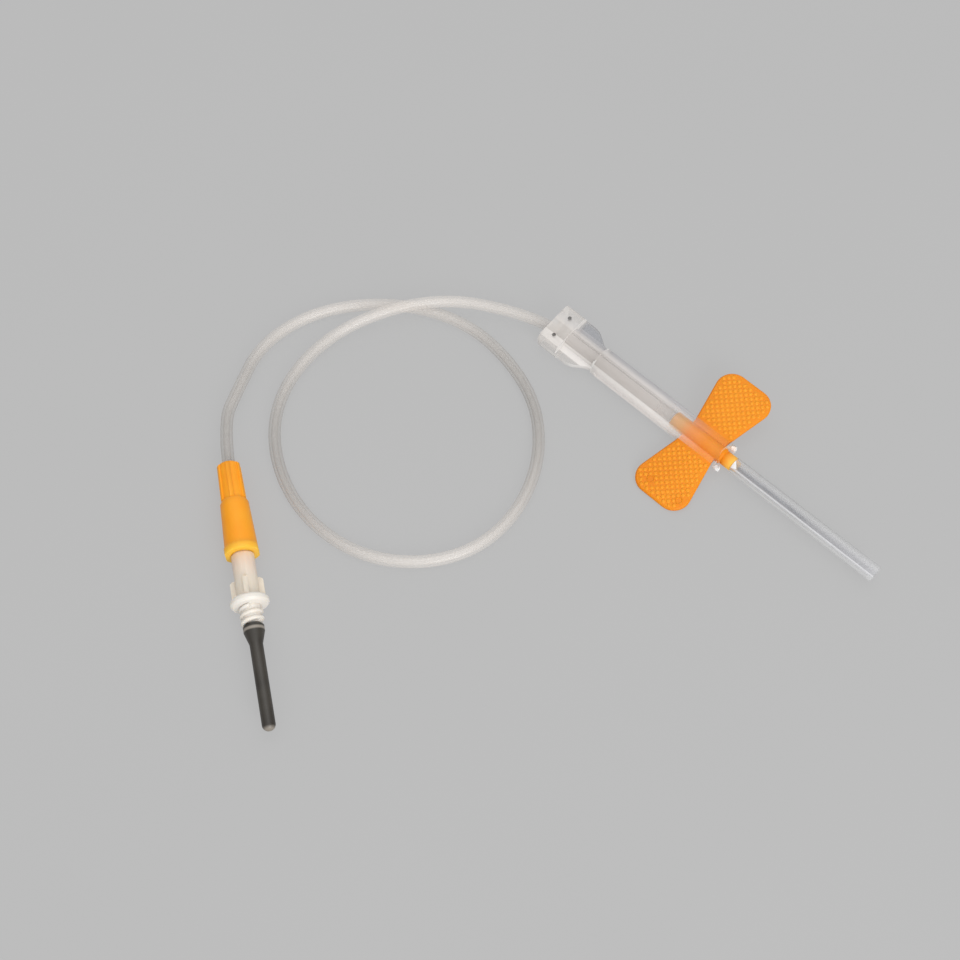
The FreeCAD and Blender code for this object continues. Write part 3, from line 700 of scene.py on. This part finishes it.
def dot_field(anchor):
    """Domes in staggered rows over one wing's upper face, one of them at the anchor."""
    shape = bmesh.new()
    bmesh.ops.create_uvsphere(shape, u_segments=8, v_segments=6, radius=1.0)
    bmesh.ops.bisect_plane(shape, geom=shape.verts[:] + shape.edges[:] + shape.faces[:],
                           plane_co=(0, 0, -0.01), plane_no=(0, 0, -1), clear_outer=True)
    bmesh.ops.contextual_create(shape, geom=[edge for edge in shape.edges if edge.is_boundary])
    bmesh.ops.scale(shape, vec=(DOT_RADIUS, DOT_RADIUS, DOT_HIGH), verts=shape.verts)
    back = DOTS_BEFORE * DOT_STEP
    start = Vector((anchor[0] - back, anchor[1] - back, WING_THICK / 2 - DOT_SUNK))
    bmesh.ops.translate(shape, verts=shape.verts, vec=start)
    repeat(shape, 1, (DOT_STEP, DOT_STEP, 0))
    repeat(shape, 4, (2 * DOT_STEP, 0, 0))
    repeat(shape, 4, (0, 2 * DOT_STEP, 0))
    mark_reach = MARK_RADIUS + DOT_RADIUS - MARK_LAP
    outside = []
    for vertex in shape.verts:
        column = round((vertex.co.x + vertex.co.y - start.x - start.y) / (2 * DOT_STEP))
        row = round((vertex.co.y - vertex.co.x - start.y + start.x) / (2 * DOT_STEP))
        x, y = start.x + (column - row) * DOT_STEP, start.y + (column + row) * DOT_STEP
        near_mark = any(math.hypot(x - mx, y - my) < mark_reach for mx, my in MARKS)
        near_shield = y * anchor[1] < 0 or abs(y) < SHIELD_RADIUS + DOT_TO_SHIELD
        if near_mark or near_shield or not on_wing(x, y, DOT_BORDER):
            outside.append(vertex)
    bmesh.ops.delete(shape, geom=outside, context="VERTS")
    return shape


def make_dots(material):
    """Grip dots on both faces of both wings. Those below are flatter, to stay within the solid's
    box where the wing's rim lies on the table."""
    shape = bmesh.new()
    for anchor in DOT_ANCHORS:
        field = dot_field(anchor)
        sheet = bpy.data.meshes.new("dots")
        field.to_mesh(sheet)
        field.free()
        shape.from_mesh(sheet)
        bpy.data.meshes.remove(sheet)
    bmesh.ops.scale(shape, vec=(1, 1, DOTS_UNDER), verts=copy_all(shape))
    new_piece("wing_grip_dots", shape, "line", material, needle_place())


def make_marks(material):
    """Two round mould marks on one wing: a low ring each."""
    shape = bmesh.new()
    for x, y in MARKS:
        seat = Matrix.Translation((x + MARK_RADIUS, y, WING_THICK / 2))
        ring = bmesh.ops.create_circle(shape, segments=12, radius=MARK_WIRE,
                                       matrix=seat @ Matrix.Rotation(math.pi / 2, 4, "X"))
        edges = list({edge for vertex in ring["verts"] for edge in vertex.link_edges})
        bmesh.ops.spin(shape, geom=ring["verts"] + edges, cent=(x, y, 0), axis=(0, 0, 1),
                       angle=2 * math.pi, steps=32, use_merge=True, use_duplicate=False)
    new_piece("wing_mould_marks", shape, "line", material, needle_place())


# Holder thread

# It starts that far ahead of the flange, and is drawn in that many cuts a turn. The flank is half
# of the ridge's outline: along the axis from its middle, and out from the core.

THREAD_PITCH = 1.45
THREAD_TURNS = 2.3
THREAD_START = 0.35
THREAD_CUTS = 40
THREAD_FLANK = [(-0.62, -0.2), (-0.32, 0.228), (-0.1, 0.38)]


def make_thread(material):
    """The adapter's right-hand thread: one broad soft ridge wound round the core."""
    shape = bmesh.new()
    start = FLANGE_REAR + FLANGE_THICK + THREAD_START
    outline = THREAD_FLANK + [(-along, out) for along, out in reversed(THREAD_FLANK)]
    face = shape.faces.new([shape.verts.new((start + along, 0, THREAD_CORE / 2 + out))
                            for along, out in outline])
    steps = int(THREAD_TURNS * THREAD_CUTS)
    bmesh.ops.spin(shape, geom=[face], cent=(0, 0, 0), axis=(1, 0, 0),
                   dvec=(THREAD_PITCH * THREAD_TURNS / steps, 0, 0),
                   angle=2 * math.pi * THREAD_TURNS, steps=steps)
    return new_piece("holder_thread_ridge", shape, "adapter", material,
                     luer_place())


# Clear shield

# The faces that get a tone of their own are found by where they are and which way they look, with
# some slack for facets. Their tones are painted light and shade: a painted highlight on the front
# tips and beads, a painted reflection on the scoop's wall, painted shade in the pin holes, and lit
# edges. The pin marks lie in the collar; the beads sit on the ends of the rails.

KNOB_REAR = SHIELD_FRONT - SLOT_BRIDGE - 0.02
KNOB_BESIDE = SCOOP_HALF - 0.5
SCOOP_FLOOR = SHIELD_FRONT - SCOOP_DEEP
SCOOP_BOW = (SCOOP_HALF ** 2 + SCOOP_DEEP ** 2) / (2 * SCOOP_DEEP)
SCOOP_SLACK = 0.1
SQUARE_ON = 0.99
WEB_REACH = 0.7
WEB_LEAN = 0.05
TUBE_SLACK = 0.3
PIN_MARK_MIDDLE = SHIELD_REAR + COLLAR_LONG / 2
PIN_MARK_BESIDE = 2.7
PIN_MARK_REACH = 0.5
PIN_MARK_HEIGHTS = (1.0, COLLAR_HALF_HIGH - 0.05)
BEAD_PLACE = (5.1, 2.95)
BEAD_RADIUS = 0.68


def near(value, wanted, slack):
    """True where a value is within the slack of the one wanted."""
    return abs(value - wanted) < slack


def is_front_knob(centre, normal):
    """The two rounded tips that close the slots at the front."""
    return centre.x > KNOB_REAR and abs(centre.y) > KNOB_BESIDE


def is_scoop_rim(centre, normal):
    """The wall of the round cut in the shield's front, which gets a painted reflection of the
    wings' orange.
    """
    from_bow = math.hypot(centre.x - (SCOOP_FLOOR + SCOOP_BOW), centre.y)
    return (centre.x > SCOOP_FLOOR - SCOOP_SLACK and near(from_bow, SCOOP_BOW, SCOOP_SLACK)
            and abs(normal.z) < SCOOP_SLACK)


def is_moulded_edge(centre, normal):
    """Narrow faces that light up: slot ends, rear step, the grip's outer edge."""
    if abs(normal.x) > SQUARE_ON:
        return True
    on_tube = near(math.hypot(centre.y, centre.z), SHIELD_RADIUS, TUBE_SLACK)
    upright = abs(normal.z) < WEB_LEAN and abs(centre.z) < WEB_REACH
    return centre.x < SLOT_REAR - SLOT_WALL and upright and not on_tube


def is_pin_mark(centre, normal):
    """The walls of the two small blind holes in the collar, which get painted shade."""
    low, high = PIN_MARK_HEIGHTS
    return (near(centre.x, PIN_MARK_MIDDLE, PIN_MARK_REACH)
            and near(abs(centre.y), PIN_MARK_BESIDE, PIN_MARK_REACH) and low < centre.z < high)


def make_beads(material):
    """The rounded ends of the shield's two rails, which close the slots in front of the wings."""
    shape = bmesh.new()
    for side in (-1, 1):
        seat = Matrix.Translation((BEAD_PLACE[0], side * BEAD_PLACE[1], 0))
        bmesh.ops.create_uvsphere(shape, u_segments=20, v_segments=12, radius=BEAD_RADIUS,
                                  matrix=seat)
    new_piece("shield_rail_ends", shape, "shield", material, needle_place())


# Putting it together

set_camera()
set_studio()

wing_vinyl = orange_wing_vinyl("orange_wing_vinyl", "EA8806", "EE8F0A")
# The dots' vinyl is painted lighter than the wing's: a painted highlight on the domes.
dot_vinyl_painted_highlight = orange_wing_vinyl("orange_wing_vinyl_dots_painted_highlight", "F89818", "FC9E20")
cream = natural_polypropylene()
steel = drawn_steel()

shield = dress("shield", banded_polypropylene(), rounding=0.12)
# Painted highlight: the front tips and the rail-end beads are near white.
painted_tip_highlight = hazy_polypropylene("tip", "FFFDFA", "FFFFFF", facing=0.9, edge=1.0)
# Painted reflection: the scoop's wall takes on the wings' orange.
painted_scoop_reflection = hazy_polypropylene("rim", "FAD8B0", "FCE0BC", facing=0.3, edge=0.6)
# Painted shade: the pin holes' walls are dark grey.
painted_pin_hole_shade = hazy_polypropylene("pin_hole_painted_shade", "5A5856", "6A6866", facing=0.7, edge=0.9)
lit_edge = hazy_polypropylene("edge", "FAF6F2", "FFFCF8", facing=0.5, edge=0.9)
paint_faces(shield, needle_place(), [(painted_tip_highlight, is_front_knob), (painted_scoop_reflection, is_scoop_rim),
                                     (painted_pin_hole_shade, is_pin_mark), (lit_edge, is_moulded_edge)])
dress("wing_hub", wing_vinyl, rounding=0.08)
dress("needle", steel, rounding=0.01)
dress("needle_cover", clear_polyethylene(), rounding=0.08)
dress("luer_hub", orange_luer_abs(), rounding=0.12)
dress("luer_adapter", cream, rounding=0.05)
dress("rear_needle", steel, rounding=0.01)
dress("rubber_sleeve", dark_latex_rubber(), rounding=0.05)
make_dots(dot_vinyl_painted_highlight)
make_beads(painted_tip_highlight)
make_marks(wing_vinyl)
thread = make_thread(cream)
make_tubing(soft_clear_vinyl())
